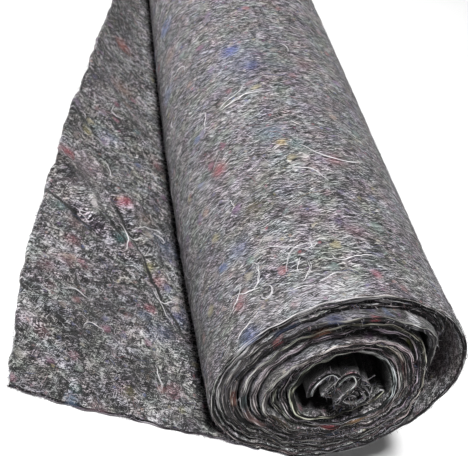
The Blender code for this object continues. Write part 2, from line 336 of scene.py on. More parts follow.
def add_sheet(name, columns, rows, lay):
    """Cut a flat sheet, lay it by a function of its two shares, and give it felt thickness.

    lay returns the combed face, the place on the cut and the thickness, all in metres.
    """
    bpy.ops.mesh.primitive_grid_add(x_subdivisions=columns, y_subdivisions=rows, size=1.0,
                                    location=(0.5, 0.5, 0.0))
    sheet = bpy.context.active_object
    sheet.name = name
    bpy.ops.object.transform_apply(location=True, rotation=True, scale=True)
    mesh = sheet.data
    for material in (coarse_face, combed_face, cut_edge):
        mesh.materials.append(material)
    shares = values_of(mesh.vertices, "co")
    laid, cut, thick = lay(shares[:, 0], shares[:, 1])
    mesh.vertices.foreach_set("co", laid.ravel())
    mesh.uv_layers[0].data.foreach_set("uv", cut[corners_of(mesh)].ravel())
    mesh.uv_layers[0].name = "cut_place"
    # the felt is thicker or thinner from place to place
    group = sheet.vertex_groups.new(name="thickness")
    thick = thick * (0.97 + 0.06 * wavy(np.c_[cut, 0.0 * thick], 0.02, 3))
    for index, weight in enumerate(thick / FULLEST):
        group.add([index], float(np.clip(weight, 0.4, 1.0)), "REPLACE")
    felt = sheet.modifiers.new("felt", "SOLIDIFY")
    felt.thickness = FULLEST
    felt.offset = 1.0
    felt.vertex_group = group.name
    felt.material_offset = 1
    felt.material_offset_rim = 2
    bpy.ops.object.modifier_apply(modifier=felt.name)
    number_edges(mesh, len(shares))
    rounding = sheet.modifiers.new("rounding", "BEVEL")
    rounding.limit_method = "ANGLE"
    rounding.angle_limit = math.radians(60.0)
    rounding.width = ROUNDED
    rounding.segments = 2
    bpy.ops.object.modifier_apply(modifier=rounding.name)
    sheet.vertex_groups.clear()
    mesh.shade_smooth()
    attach(sheet, "root")
    return sheet


def number_edges(mesh, per_face):
    """Give the two ends' cut edges places of their own: along, and in from the combed face."""
    places = mesh.uv_layers[0].data
    for face in mesh.polygons:
        if face.material_index != 2:
            continue
        ways = [tuple(places[corner].uv) for corner in face.loop_indices]
        if max(v for _, v in ways) - min(v for _, v in ways) > 1e-6:
            face.material_index = 0
            continue
        for corner, (along, _) in zip(face.loop_indices, ways):
            depth = FELT if mesh.loops[corner].vertex_index < per_face else 0.0
            places[corner].uv = (along, EDGE_ROW + depth)


def roughen(sheet, lumps, edge_height, seed):
    """Raise the felt's lumps over its faces, and fray its cut edges a little.

    lumps has columns spread, height.
    """
    mesh = sheet.data
    points = values_of(mesh.vertices, "co")
    normals = values_of(mesh.vertices, "normal")
    raised = sum(height * wavy(points, spread, seed + index)
                 for index, (spread, height) in enumerate(lumps))
    edges = {v for face in mesh.polygons if face.material_index == 2 for v in face.vertices}
    edges = np.array(sorted(edges), int)
    raised[edges] = edge_height * wavy(points[edges], 0.011, seed + 5, 2)
    points = points + normals * raised[:, None]
    points[:, 2] = np.maximum(points[:, 2], 0.0)
    mesh.vertices.foreach_set("co", points.ravel())
    mesh.update()


def lay_loose_end(across, along):
    from_near = read_table(FLAP_ROWS, along)
    reach = read_table(FLAP_REACH, from_near)
    start = CLEARANCE - wound_place(0.0, from_near)[0]
    # across 0 is the free edge, which is cut a little unevenly
    fray = waves(FREE_EDGE_WAVES, from_near)
    x = -(reach - (reach - start) * across) + fray * (1.0 - across) ** 8
    bow = read_table(FLAP_BOW, -x) * (1.0 - along)
    y = NEAR_END + from_near - bow + waves(FLAP_END_WAVES, x) * (1.0 - along) ** 40
    z = flap_height(x, from_near)
    return np.c_[x, y, z], np.c_[x, from_near], np.full_like(x, FELT)


def swollen(turns_in, from_near, fullest):
    """Thickness of the felt, which swells at both ends into the air between the turns."""
    x, z = wound_place(turns_in, from_near)
    next_x, next_z = wound_place(turns_in + 1.0, from_near)
    room = np.hypot(next_x - x, next_z - z) - 0.0004
    at_end = bell(from_near, SWELL_REACH) + bell(ROLL_LENGTH - from_near, SWELL_REACH)
    return FELT + (np.clip(room, 0.0030, fullest) - FELT) * at_end


def lay_first_turn(across, along):
    turns_in = LAP * across
    from_near = ROLL_LENGTH * (0.4 * along + 0.6 * along * along)
    x, z = wound_place(turns_in, from_near)
    proud = end_shift(turns_in, (1.0 - along) ** 6, along ** 6)
    y = NEAR_END + from_near + proud + waves(FIRST_TURN_WAVES, turns_in) * (1.0 - along) ** 40
    thick = swollen(turns_in, from_near, OUTER_FULLEST)
    return np.c_[x, y, z], np.c_[ROUND * turns_in, from_near], thick


def inner_length(turns_in):
    """Length of felt wound up to a place, from the lap."""
    steps = np.linspace(LAP, LAST_TURN, WINDING_STEPS)
    x, z = wound_place(steps, np.full_like(steps, 0.3))
    run = np.concatenate([[0.0], np.cumsum(np.hypot(np.diff(x), np.diff(z)))])
    return np.interp(turns_in, steps, run), run[-1]


def inner_row(along):
    return np.interp(along * (len(INNER_ROWS) - 1), np.arange(len(INNER_ROWS)), INNER_ROWS)


def lay_inner_turns(across, along):
    # equal lengths of felt, not equal angles, from column to column
    steps = np.linspace(LAP, LAST_TURN, WINDING_STEPS)
    run, total = inner_length(steps)
    length = across * total
    turns_in = np.interp(length, run, steps)
    from_near = inner_row(along)
    x, z = wound_place(turns_in, from_near)
    # the turns ripple together, more so near the bottom where they are pressed
    angle = np.radians(turn_angle(turns_in))
    ripple = 0.00035 * np.sin(11.0 * angle / 3.0 + 2.2 * turns_in)
    ripple = ripple + 0.00030 * np.sin(9.0 * angle + 0.6 * turns_in)
    low = bell(((np.degrees(angle) + 90.0 + 180.0) % 360.0) - 180.0, 60.0)
    at_near = bell(from_near, PROUD_REACH)
    ripple = ripple * (0.6 + 1.2 * low) * at_near
    ripple = ripple * ease((turns_in - LAP) / 0.3)
    x = x + ripple * np.cos(angle)
    z = z + ripple * np.sin(angle)
    proud = end_shift(turns_in, at_near, bell(ROLL_LENGTH - from_near, PROUD_REACH))
    y = NEAR_END + from_near + proud + waves(INNER_TURN_WAVES, length) * bell(from_near, 0.004)
    return np.c_[x, y, z], np.c_[length, from_near], swollen(turns_in, from_near, FULLEST)


def core_curve(share):
    """Place of the crumpled felt across the roll, with its length from the turns."""
    rows = np.array(CORE_PATH)
    reach = np.concatenate([[0.0], np.cumsum(np.hypot(*np.diff(rows[:, :2], axis=0).T))])
    place = share * reach[-1]
    x, z, proud = (read_table(list(zip(reach, column)), place) / 1000.0 for column in rows.T)
    return x, z, proud, place / 1000.0


def lay_core(across, along):
    from_near = inner_row(along)
    x, z, proud, length = core_curve(across)
    # the bundle twists a little as it runs in
    turn = CORE_TWIST * from_near
    off_x = x - CORE_X
    off_z = z - CORE_Z
    x = CORE_X + off_x * np.cos(turn) - off_z * np.sin(turn)
    z = CORE_Z + off_x * np.sin(turn) + off_z * np.cos(turn)
    y = NEAR_END + from_near - proud * bell(from_near, PROUD_REACH)
    return np.c_[x, y, z], np.c_[length, from_near], np.full_like(x, CORE_FELT)


# Loose fibres


def add_fibres(name, lines, thickness, material):
    """Thin three-sided fibres along lines, given as an array of line, point, place."""
    count, steps, _ = lines.shape
    along = np.gradient(lines, axis=1)
    along /= np.maximum(np.linalg.norm(along, axis=2, keepdims=True), 1e-9)
    # hardly any fibre runs along this direction
    side = np.cross(along, np.array([0.31, 0.17, 0.93]))
    side /= np.maximum(np.linalg.norm(side, axis=2, keepdims=True), 1e-9)
    other = np.cross(along, side)
    taper = np.sin(np.linspace(0.12, 1.0, steps) * math.pi * 0.93)[None, :, None]
    half = 0.5 * thickness[:, None, None] * np.maximum(taper, 0.25)
    rings = [lines + half * (math.cos(a) * side + math.sin(a) * other)
             for a in (0.0, 2.0 * math.pi / 3.0, 4.0 * math.pi / 3.0)]
    points = np.stack(rings, axis=2).reshape(-1, 3)
    points[:, 2] = np.maximum(points[:, 2], 0.0)
    first = (np.arange(count)[:, None] * steps + np.arange(steps - 1)[None, :]) * 3
    sides = [(first + k, first + (k + 1) % 3) for k in range(3)]
    quads = [np.stack([low, high, high + 3, low + 3], axis=2) for low, high in sides]
    faces = np.concatenate([q.reshape(-1, 4) for q in quads]).tolist()
    start = np.arange(count) * steps * 3
    finish = start + (steps - 1) * 3
    faces += np.stack([start + 2, start + 1, start], axis=1).tolist()
    faces += np.stack([finish, finish + 1, finish + 2], axis=1).tolist()
    mesh = bpy.data.meshes.new(name)
    mesh.from_pydata(points.tolist(), [], faces)
    tint = mesh.attributes.new("fibre_tint", "FLOAT", "POINT")
    shade = np.random.default_rng(count).random(count).astype(np.float32)
    tint.data.foreach_set("value", np.repeat(shade, steps * 3))
    mesh.materials.append(material)
    mesh.shade_smooth()
    fibres = bpy.data.objects.new(name, mesh)
    scene.collection.objects.link(fibres)
    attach(fibres, "root")


def wandering(starts, headings, lengths, steps, wander, turning=0.0):
    """Curly lines on a flat cut, one for each start, turning steadily and at random."""
    turn = rng.normal(0.0, 1.0, (len(starts), steps)) * wander[:, None]
    turn = np.cumsum(turn, axis=1)
    heading = headings[:, None] + turn[:, 1:] + turn[:, :-1]
    heading = heading + np.reshape(turning, (-1, 1)) * np.linspace(0.0, 1.0, steps - 1)
    stride = (lengths / (steps - 1))[:, None]
    still = np.zeros((len(starts), 1))
    across = starts[:, :1] + np.concatenate([still, np.cumsum(stride * np.cos(heading), 1)], 1)
    along = starts[:, 1:] + np.concatenate([still, np.cumsum(stride * np.sin(heading), 1)], 1)
    return across, along


def on_roll(length, from_near, lifted):
    """Places on the roll's outer face, from the length round it and the place along it."""
    turns_in = np.clip(length / ROUND, 0.06, 0.94)
    from_near = np.clip(from_near, 0.0, ROLL_LENGTH)
    x, z = wound_place(turns_in, from_near)
    angle = np.radians(turn_angle(turns_in))
    x = x + lifted * np.cos(angle)
    z = z + lifted * np.sin(angle)
    return np.stack([x, NEAR_END + from_near, z], -1)


def on_loose_end(x, from_near, lifted):
    from_near = np.clip(from_near, 0.002, ROLL_LENGTH - 0.002)
    x = np.clip(x, -read_table(FLAP_REACH, from_near) + 0.002, -0.02)
    z = flap_height(x, from_near) - along_lines(FLAP_CREASES, x, from_near) + 0.95 * FELT + lifted
    return np.stack([x, NEAR_END + from_near, z], -1)


# Finishes

# Single fibres to the metre across them, drawn about 0.7 mm wide so that they show
FIBRES = 1400.0
# How much longer than wide the fibres' streaks are on the faces and on the cut edges
FACE_STRETCH = 12.0
EDGE_STRETCH = 32.0
# Height of the pattern's relief
RELIEF = 0.0012


def colour(hexadecimal):
    """Linear colour of an sRGB hex value."""
    parts = [int(hexadecimal[i:i + 2], 16) / 255.0 for i in (1, 3, 5)]
    parts = [p / 12.92 if p <= 0.04045 else ((p + 0.055) / 1.055) ** 2.4 for p in parts]
    return tuple(parts) + (1.0,)


def add_node(tree, kind, links=None, output=0, stops=(), **settings):
    """Add a node with its settings, ramp stops and inputs, and return one of its outputs.

    kind is the shader node's name, and links gives each input a value or another's output.
    A Mix node takes its colours at 6 and 7 and gives theirs at 2.
    """
    node = tree.nodes.new("ShaderNode" + kind)
    for key, value in settings.items():
        setattr(node, key, value)
    for key, value in (links or {}).items():
        if isinstance(value, bpy.types.NodeSocket):
            tree.links.new(value, node.inputs[key])
        else:
            node.inputs[key].default_value = value
    for index, (place, tone) in enumerate(stops):
        band = node.color_ramp.elements
        element = band[index] if index < 2 else band.new(place)
        element.position = place
        element.color = colour(tone) if isinstance(tone, str) else (tone, tone, tone, 1.0)
    return node.outputs[output]


def new_finish(name, values=None):
    """A matt material with its shader's other values, and its function that adds a node."""
    material = bpy.data.materials.new(name)
    material.use_nodes = True
    shader = material.node_tree.nodes["Principled BSDF"]
    matt = {"Metallic": 0.0, "Roughness": 0.92, "Specular IOR Level": 0.25}
    for key, value in {**matt, **(values or {})}.items():
        shader.inputs[key].default_value = value
    return material, functools.partial(add_node, material.node_tree)


def finished(material, coloured, height=None, strength=1.0):
    """Join a pattern's colour, and its relief if it has one, to the material's shader."""
    tree = material.node_tree
    shader = tree.nodes["Principled BSDF"]
    tree.links.new(coloured, shader.inputs["Base Color"])
    if height is not None:
        links = {"Height": height, "Strength": strength, "Distance": RELIEF}
        tree.links.new(add_node(tree, "Bump", links), shader.inputs["Normal"])
    return material


def with_tufts_and_shading(add, coloured, pattern, low, high, least):
    """Work the placed patches, tufts of stronger colour and painted light and shade, in among a
    pattern's own fibres.
    """
    placed = add("Attribute", output="Color", attribute_name="tufts")
    broken = add("MapRange", {"Value": pattern, 1: low, 2: high, 3: least, 4: 1.0})
    cover = add("Math", {0: placed.node.outputs["Alpha"], 1: broken}, operation="MULTIPLY")
    return add("Mix", {0: cover, 6: coloured, 7: placed}, 2, data_type="RGBA")


# Scraps of coloured textile in the felt
SCRAP_HUES = [
    (0.00, "#a05a66"), (0.18, "#5d70a4"), (0.34, "#b08a7c"), (0.48, "#74948f"),
    (0.60, "#a84c56"), (0.72, "#4c5f98"), (0.84, "#a89e70"), (1.00, "#d2ccd0"),
]
# columns: scraps_per_metre, share of places, cover
SCRAPS = [(260.0, 0.10, 0.45), (100.0, 0.12, 0.50)]


def felt_finish(name, headings, greys, mottling, relief):
    """Needled felt of shredded textiles: matt grey fibres, with coloured scraps among them, and
    painted shade in the loose end's creases.

    headings are the ways in which light and dark fibres lie on the cut, in radians, and
    mottling is the weight of broader patches.
    """
    # short fibres standing up give a faint light rim
    material, add = new_finish(name, {"Sheen Weight": 0.12, "Sheen Roughness": 0.5})
    place = add("TexCoord", output="UV")
    # the fibres curl a little over about 16 mm
    bends = add("TexNoise", {"Vector": place, "Scale": 60.0, "Detail": 3.0}, "Color")
    curled = add("VectorMath", {0: bends, 1: (CURL, CURL, 0.0), 2: place}, operation="MULTIPLY_ADD")
    streaks = []
    for heading in headings:
        stream = add("Mapping", {
            "Vector": curled, "Location": (heading, 2.0 * heading, 0.0),
            "Rotation": (0.0, 0.0, heading), "Scale": (FACE_STRETCH, 1.0, 1.0)},
            vector_type="TEXTURE")
        streaks.append(add("TexNoise", {
            "Vector": stream, "Scale": FIBRES, "Detail": 2.0, "Roughness": 0.7}, "Fac"))
    light = add("Math", {0: streaks[0], 1: streaks[1]}, operation="MAXIMUM")
    dark = add("Math", {0: streaks[2], 1: streaks[3]}, operation="MAXIMUM")
    fibres = add("Math", {0: light, 1: dark}, operation="SUBTRACT")
    # tufts of fibre about 5 mm wide, and lighter and darker areas about 40 mm wide
    tufts = add("TexNoise", {
        "Vector": curled, "Scale": 200.0, "Detail": 3.0, "Roughness": 0.7}, "Fac")
    areas = add("TexNoise", {"Vector": place, "Scale": 26.0, "Detail": 2.0}, "Fac")
    tone = add("Math", {0: areas, 1: 0.5 * mottling, 2: 0.5 - 0.75 * mottling},
               operation="MULTIPLY_ADD")
    tone = add("Math", {0: tufts, 1: mottling, 2: tone}, operation="MULTIPLY_ADD")
    tone = add("Math", {0: fibres, 1: 1.15 + 0.40 * mottling, 2: tone}, operation="MULTIPLY_ADD")
    coloured = add("ValToRGB", {"Fac": tone}, stops=greys)
    # faint casts of pink, blue and brown
    casts = add("TexNoise", {"Vector": curled, "Scale": 60.0, "Detail": 4.0}, "Color")
    coloured = add("Mix", {0: 0.40, 6: coloured, 7: casts}, 2, data_type="RGBA",
                   blend_type="SOFT_LIGHT")
    for per_metre, share, cover in SCRAPS:
        distance = add("TexVoronoi", {"Vector": curled, "Scale": per_metre}, "Distance")
        picked = add("SeparateColor", {"Color": distance.node.outputs["Color"]})
        inside = add("Math", {0: fibres, 1: distance}, operation="SUBTRACT")
        inside = add("MapRange", {"Value": inside, 1: -0.45, 2: -0.25, 3: 0.0, 4: cover})
        chosen = add("Math", {0: picked.node.outputs[1], 1: share}, operation="LESS_THAN")
        scrap = add("Math", {0: inside, 1: chosen}, operation="MULTIPLY")
        hue = add("ValToRGB", {"Fac": picked}, stops=SCRAP_HUES)
        coloured = add("Mix", {0: scrap, 6: coloured, 7: hue}, 2, data_type="RGBA")
    coloured = with_tufts_and_shading(add, coloured, fibres, low=-0.10, high=0.10, least=0.1)
    # painted shade in the loose end's sharp creases: dark lines, narrowing towards both their ends
    painted_crease_shade = 0.0
    for start_x, start_y, end_x, end_y, width, _ in FLAP_CREASES:
        run = Vector((end_x - start_x, end_y - start_y))
        middle = (0.5 * (start_x + end_x + CURL), 0.5 * (start_y + end_y + CURL), 0.0)
        crease_shade_band = add("Mapping", {
            "Vector": curled, "Location": middle, "Rotation": (0.0, 0.0, math.atan2(run.y, run.x)),
            "Scale": (0.75 * run.length, 0.45 * width, 1.0)}, vector_type="TEXTURE")
        crease_shade_band = add("TexGradient", {"Vector": crease_shade_band}, "Fac", gradient_type="SPHERICAL")
        painted_crease_shade = add("Math", {0: crease_shade_band, 1: painted_crease_shade}, operation="MAXIMUM")
    painted_crease_shade = add("ValToRGB", {"Fac": painted_crease_shade}, stops=[(0.0, 0.0), (0.30, 0.55), (0.45, 0.95)])
    coloured = add("Mix", {0: painted_crease_shade, 6: coloured, 7: colour("#050505")}, 2, data_type="RGBA")
    height = add("Math", {0: tufts, 1: fibres}, operation="ADD")
    return finished(material, coloured, height, relief)


def edge_finish(name):
    """Cut edge of the felt: fibre ends in fine lines along the cut, brownish and dark."""
    material, add = new_finish(name)
    place = add("TexCoord", output="UV")
    bends = add("TexNoise", {"Vector": place, "Scale": 45.0, "Detail": 3.0}, "Color")
    # the lines stray up and down by about 1 mm
    curled = add("VectorMath", {0: bends, 1: (0.0, 0.0012, 0.0), 2: place},
                 operation="MULTIPLY_ADD")
    drawn = add("Mapping", {"Vector": curled, "Scale": (EDGE_STRETCH, 1.0, 1.0)},
                vector_type="TEXTURE")
    lines = add("TexNoise", {
        "Vector": drawn, "Scale": FIBRES, "Detail": 2.0, "Roughness": 0.65}, "Fac")
    # lighter and darker runs, some 20 to 150 mm long
    areas = add("TexNoise", {
        "Vector": drawn, "Scale": 220.0, "Detail": 3.0, "Roughness": 0.6}, "Fac")
    tone = add("Math", {0: areas, 1: 0.8, 2: -0.608}, operation="MULTIPLY_ADD")
    tone = add("Math", {0: lines, 1: 1.4, 2: tone}, operation="MULTIPLY_ADD")
    # painted highlight along the combed face's side of each cut edge, and painted shade along the
    # coarse face's side
    across = add("SeparateXYZ", {"Vector": place}, "Y")
    lip_highlight_and_shade = add("MapRange", {
        "Value": across, 1: EDGE_ROW, 2: EDGE_ROW + FELT, 3: 0.08, 4: -0.13})
    tone = add("Math", {0: tone, 1: lip_highlight_and_shade}, operation="ADD")
    coloured = add("ValToRGB", {"Fac": tone}, stops=[
        (0.41, "#010101"), (0.49, "#0f0d0d"), (0.54, "#332d2b"), (0.595, "#726a68"),
        (0.69, "#d8d2d1")])
    casts = add("TexNoise", {"Vector": drawn, "Scale": 130.0, "Detail": 2.0}, "Color")
    coloured = add("Mix", {0: 0.60, 6: coloured, 7: casts}, 2, data_type="RGBA",
                   blend_type="SOFT_LIGHT")
    coloured = with_tufts_and_shading(add, coloured, lines, low=0.40, high=0.60, least=0.0)
    return finished(material, coloured, tone, 0.8)


def fibre_finish(name, tones):
    """Single polyester and cotton fibres, matt, each of one tone."""
    material, add = new_finish(name)
    tint = add("Attribute", output="Fac", attribute_name="fibre_tint")
    return finished(material, add("ValToRGB", {"Fac": tint}, stops=tones))


# Outside of the felt: fibres combed round the roll, mid grey
combed_face = felt_finish(
    "needled_felt_combed_face", (0.25, -0.32, 0.0, 0.5),
    [(0.37, "#060606"), (0.45, "#2a292b"), (0.51, "#4f4d50"), (0.57, "#7a787b"),
     (0.70, "#d2cfd2")], mottling=0.30, relief=0.9)
# Inside of the felt: coarse, lumpier and darker, fibres in all directions
coarse_face = felt_finish(
    "needled_felt_coarse_face", (0.4, -0.6, 1.2, 0.0),
    [(0.34, "#020202"), (0.43, "#161516"), (0.51, "#343334"), (0.59, "#6b686b"),
     (0.71, "#dcd9db")], mottling=0.85, relief=1.0)
cut_edge = edge_finish("needled_felt_cut_edge")
# Loose fibres: mostly light greys, a few coloured
grey_fibres = fibre_finish("loose_recycled_fibres", [
    (0.00, "#2b292c"), (0.35, "#5a575b"), (0.60, "#8d8a90"), (0.84, "#c9c6cb"),
    (0.91, "#8d6468"), (0.95, "#5c6a92"), (1.00, "#9a8470")])
# White sewing and knitting threads caught in the felt
thread_white = fibre_finish("white_cotton_thread", [(0.0, "#d9d6da"), (1.0, "#f4f2f4")])


# Building

# All that is random is drawn from this one seed, in order
rng = np.random.default_rng(11)
loose_end = add_sheet("loose_end_felt", 130, 300, lay_loose_end)
first_turn = add_sheet("first_turn_felt", 190, 230, lay_first_turn)
inner_turns = add_sheet("inner_turns_felt", 1300, len(INNER_ROWS) - 1, lay_inner_turns)
core = add_sheet("core_felt", 200, len(INNER_ROWS) - 1, lay_core)

# Creases are pressed into the loose end from above
points = values_of(loose_end.data.vertices, "co")
from_near = points[:, 1] - NEAR_END
upper = points[:, 2] - flap_height(points[:, 0], from_near) > 0.4 * FELT
points[:, 2] -= along_lines(FLAP_CREASES, points[:, 0], from_near)
points[:, 2] = np.maximum(points[:, 2], np.where(upper, THINNEST, 0.0))
loose_end.data.vertices.foreach_set("co", points.ravel())

roughen(loose_end, [(0.009, 0.0010), (0.035, 0.0010)], 0.0004, 1)
roughen(first_turn, [(0.016, 0.00040)], 0.0003, 4)
roughen(inner_turns, [(0.010, 0.00020)], 0.0003, 7)
roughen(core, [(0.009, 0.0007)], 0.0004, 9)

# Tufts of stronger colour, darker areas, and patches of painted shade and painted light, each a
# soft patch on the roll's face or the loose end's, which spreads to this many times its size and
# covers this much at its middle
PATCH_SPREAD = 1.3
PATCH_COVER = 0.80
# Painted shade inside the roll: dark colour and cover over the turns and the core, away from their
# cut edges
TURNS_PAINTED_SHADE = ("#0f0d0f", 0.65)
CORE_PAINTED_SHADE = ("#070607", 2.0)
# Grey of the darker areas, and grey of the painted shade low on the turns at the near end
DARK = "#262326"
PAINTED_SHADE_GREY = "#1c1819"
# columns: length round the roll or x on the loose end, from_near and size in mm, colour,
# strength
ROLL_TUFTS_AND_SHADE = [
    # painted shade: the first four rows are a dark band along the roll's lower left side, where it
    # turns away from the light over the crevice
    (450, 60, 34, "#2c2a2e", 0.35), (446, 160, 40, "#2c2a2e", 0.35),
    (446, 270, 40, "#2c2a2e", 0.35), (446, 390, 45, "#2c2a2e", 0.30),
    # painted shade: the rows at 122 and 90 mm darken the first turn's lower right at the near end,
    # where it lies in shade
    (176, 30, 16, "#5e4450", 0.9), (198, 20, 12, "#6a4c52", 0.7), (122, 12, 24, "#2c282c", 1.0),
    (90, 10, 20, "#2c282c", 1.0), (356, 288, 6, "#3c58b8", 1.0), (344, 260, 6, "#5068b0", 0.6),
    (350, 270, 18, "#7a86ac", 0.4), (419, 399, 8, "#5a72b4", 0.8), (431, 304, 8, "#7c8fb8", 0.7),
    (419, 349, 7, "#b59a88", 0.6), (344, 170, 8, "#8ea2b4", 0.6), (390, 156, 5, "#b03c50", 0.9),
    (300, 260, 6, "#8a5a60", 0.6), (304, 132, 5, "#9a5058", 0.7), (397, 31, 4, "#a04048", 0.8),
    (395, 3, 5, "#4c62a4", 0.8), (338, 156, 3, "#c8b060", 0.9), (330, 152, 4, "#6aa09a", 0.6),
    (389, 72, 7, "#5a6490", 0.6), (367, 122, 10, "#aaa6a4", 0.5), (405, 149, 8, "#b8b6ba", 0.6),
    (370, 100, 5, "#a08a5c", 0.5), (310, 60, 5, "#8a5058", 0.5), (340, 80, 8, "#a0868c", 0.4),
    (300, 200, 12, "#8a8794", 0.4), (396, 172, 7, "#8a6068", 0.5), (352, 10, 10, "#c8c5ca", 0.7),
    (378, 12, 7, "#c0bcc2", 0.5), (336, 8, 8, "#d4d1d6", 0.9), (326, 3, 6, "#d8d5da", 0.9),
    (431, 254, 5, "#ccc9ce", 0.7), (415, 165, 9, "#b8b6ba", 0.5),
]
LOOSE_END_TUFTS = [
    (-91, 457, 8, "#b05040", 0.8), (-157, 237, 6, "#b4505c", 0.9), (-150, 146, 4, "#984c58", 0.8),
    (-88, 100, 4, "#b06070", 0.8), (-77, 29, 6, "#a86a74", 0.6), (-104, 206, 4, "#b03050", 1.0),
    (-138, 280, 4, "#a89c60", 0.8), (-114, 288, 7, "#7484a8", 0.5), (-159, 180, 4, "#6a9c94", 0.7),
    (-109, 162, 4, "#6aa0a0", 0.7), (-86, 142, 3, "#cfc898", 0.9), (-78, 130, 5, "#843c44", 0.7),
    (-70, 15, 5, "#8a8450", 0.7), (-154, 3, 4, "#7090b0", 0.7), (-97, 377, 9, "#9a6a50", 0.6),
    (-140, 232, 14, "#b09aa2", 0.5), (-120, 340, 14, "#a0909a", 0.4), (-94, 92, 5, "#50688c", 0.7),
    (-172, 111, 5, "#8a5060", 0.6), (-155, 124, 5, "#8c4c5a", 0.6), (-141, 122, 4, "#8a5460", 0.5),
    (-166, 92, 4, "#7c4c56", 0.5), (-147, 167, 5, "#a8868c", 0.6), (-68, 172, 9, "#5c7090", 0.6),
    (-82, 78, 8, "#56688c", 0.6), (-65, 100, 6, "#4c5c90", 0.6), (-151, 37, 5, "#9a6c78", 0.6),
    (-97, 35, 6, "#7c6450", 0.6), (-136, 1, 5, "#a08088", 0.6), (-112, 19, 5, "#8c8458", 0.6),
    (-151, 12, 4, "#588880", 0.5), (-173, 48, 4, "#945c66", 0.5), (-87, 29, 4, "#a05858", 0.6),
    (-86, 196, 5, "#94745c", 0.6), (-64, 281, 5, "#8c4c50", 0.6), (-92, 351, 6, "#84604c", 0.6),
    (-85, 313, 5, "#6a949c", 0.5), (-120, 60, 6, "#7a6a80", 0.5), (-130, 80, 5, "#74605c", 0.5),
    (-184, 60, 6, "#c4bcc0", 0.5), (-150, 205, 12, "#a89aa0", 0.4), (-132, 193, 8, "#b8b2b6", 0.5),
    (-176, 10, 18, DARK, 0.6), (-136, 46, 24, DARK, 0.6), (-100, 40, 18, DARK, 0.6),
    (-66, 8, 14, DARK, 0.7), (-122, 90, 12, "#242124", 0.6), (-105, 100, 16, DARK, 0.5),
    (-105, 248, 16, DARK, 0.6), (-90, 330, 22, DARK, 0.5), (-152, 272, 10, "#242124", 0.6),
    (-154, 212, 6, "#242124", 0.6), (-150, 90, 16, DARK, 0.5), (-115, 430, 26, DARK, 0.5),
    (-70, 225, 12, DARK, 0.5), (-80, 500, 30, DARK, 0.5),
]
# columns: turns_in, from_near and size in mm, colour, strength
INNER_TUFTS_AND_SHADING = [
    # painted light: lighter grey on the left of each of the first six turns at the near end, the
    # side facing the light
    (1.80, 0, 34, "#9a9497", 0.5), (2.80, 0, 34, "#9a9497", 0.5), (3.82, 0, 30, "#9a9497", 0.45),
    (4.82, 0, 28, "#968f93", 0.45), (5.80, 0, 26, "#8c8689", 0.4), (6.80, 0, 24, "#8c8689", 0.35),
    # painted shade: darker grey low on each of the first six turns at the near end
    (1.10, 0, 50, PAINTED_SHADE_GREY, 0.55), (2.05, 0, 50, PAINTED_SHADE_GREY, 0.55), (3.05, 0, 45, PAINTED_SHADE_GREY, 0.55),
    (4.05, 0, 40, PAINTED_SHADE_GREY, 0.55), (5.05, 0, 35, PAINTED_SHADE_GREY, 0.5), (6.05, 0, 30, PAINTED_SHADE_GREY, 0.45),
    (2.70, 0, 6, "#4c5a7c", 0.6), (3.72, 2, 4, "#7c3a42", 1.1), (4.66, 0, 4, "#905c46", 0.9),
    (3.64, 2, 5, "#2a3458", 1.2), (3.59, 0, 3, "#7c343e", 1.2), (3.57, 4, 4, "#4a5c80", 1.1),
    (3.53, 4, 5, "#d8d8dc", 1.2), (5.48, 0, 4, "#80824a", 0.6), (2.33, 0, 7, "#7c3c44", 0.6),
    (8.09, 0, 5, "#a03c48", 0.8), (8.16, 0, 5, "#a88058", 0.7), (8.24, 0, 9, "#b09a9c", 0.6),
    (4.86, 0, 7, "#84989a", 0.6), (3.85, 0, 11, "#7c4c44", 0.6), (4.92, 0, 11, "#a07c78", 0.5),
    (1.60, 0, 15, "#3a3640", 0.5), (2.48, 2, 22, "#343036", 0.7), (3.48, 4, 26, "#322f36", 0.9),
    (3.66, 6, 26, "#2e2c34", 0.9), (4.55, 4, 30, "#343036", 0.5), (3.57, 10, 30, "#2c2a30", 0.9),
    (3.76, 6, 24, "#322e34", 0.8), (6.10, 0, 7, "#4c5c78", 0.5), (7.40, 0, 9, "#704048", 0.5),
    (5.05, 0, 9, "#6c4a40", 0.5), (6.95, 0, 7, "#6c5a3c", 0.5),
]


def paint_tufts_and_shading(sheet, table, painted_shade=("#000000", 0.0)):
    """Colour and cover of the placed patches at each vertex, tufts and painted light and shade,
    over painted shade away from the cut.
    """
    mesh = sheet.data
    place = np.zeros((len(mesh.vertices), 2))
    place[corners_of(mesh)] = values_of(mesh.uv_layers[0].data, "uv", 2)
    # cut edges are painted as the felt next to them
    place[place[:, 1] > 0.5 * EDGE_ROW, 1] = 0.0
    # the painted shade is at its strongest deep between the turns, where shade falls
    depth = np.minimum(place[:, 1], ROLL_LENGTH - place[:, 1])
    colours = np.tile(colour(painted_shade[0])[:3] + (painted_shade[1],), (len(place), 1))
    colours[:, 3] *= ease(depth / 0.0045) + ease((depth - 0.005) / 0.010)
    for across, from_near, size, tone, strength in table:
        off = np.hypot(place[:, 0] - across, place[:, 1] - from_near)
        cover = PATCH_COVER * strength * bell(off, PATCH_SPREAD * size)
        stronger = cover > colours[:, 3]
        colours[stronger, :3] = colour(tone)[:3]
        colours[:, 3] = np.maximum(colours[:, 3], cover)
    # the attribute named tufts also holds the painted shade and painted light
    layer = mesh.color_attributes.new("tufts", "FLOAT_COLOR", "POINT")
    layer.data.foreach_set("color", colours.ravel())


